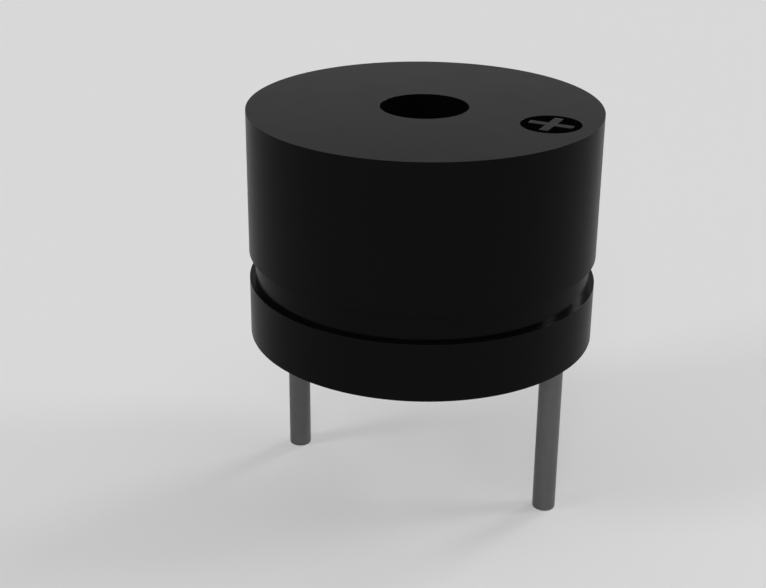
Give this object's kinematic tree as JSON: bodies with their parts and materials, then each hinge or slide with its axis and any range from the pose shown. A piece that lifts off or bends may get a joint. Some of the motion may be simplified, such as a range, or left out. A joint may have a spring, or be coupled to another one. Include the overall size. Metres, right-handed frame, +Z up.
{
  "type": "electronic buzzer",
  "caption": "Round black electromagnetic buzzer with a sound hole and a recessed plus mark on top and straight solder pins below, for mounting on a circuit board.",
  "frame": {"origin": "centre of the base's underside, on the plane that sits on the circuit board", "axes": "+Z up along the case's axis, out of the sound hole; +X towards the positive pin and the plus mark; pins point along -Z"},
  "size_m": [0.012, 0.012, 0.0141],
  "materials": {
    "case_plastic": "fine satin moulded black",
    "pin_metal": "dull dark grey tinned wire",
    "motor_iron": "plated soft iron",
    "bobbin_plastic": "natural moulded plastic",
    "enamelled_wire": "clear enamel over copper",
    "ferrite": "sintered dark grey",
    "diaphragm_steel": "rolled bright steel",
    "board_laminate": "solder mask over glass laminate",
    "copper": "bare copper",
    "chip_moulding": "moulded epoxy",
    "tinned_metal": "tin plating",
    "chip_ceramic": "white alumina",
    "solder": "bright solder",
    "resin": "poured black resin"
  },
  "bodies": {
    "root": {"upper_case": "case_plastic", "base_frame": "case_plastic", "positive_pin": "pin_metal", "negative_pin": "pin_metal", "yoke_plate": "motor_iron", "pole_core": "motor_iron", "coil_bobbin": "bobbin_plastic", "coil_winding": "enamelled_wire", "coil_leads": "enamelled_wire", "magnet_ring": "ferrite", "diaphragm": "diaphragm_steel", "armature_disc": "motor_iron", "circuit_board": "board_laminate", "copper_tracks": "copper", "drive_transistor": "chip_moulding", "transistor_leads": "tinned_metal", "bias_resistor": "chip_ceramic", "resistor_caps": "tinned_metal", "solder_joints": "solder", "sealing_resin": "resin"}
  },
  "joints": []
}
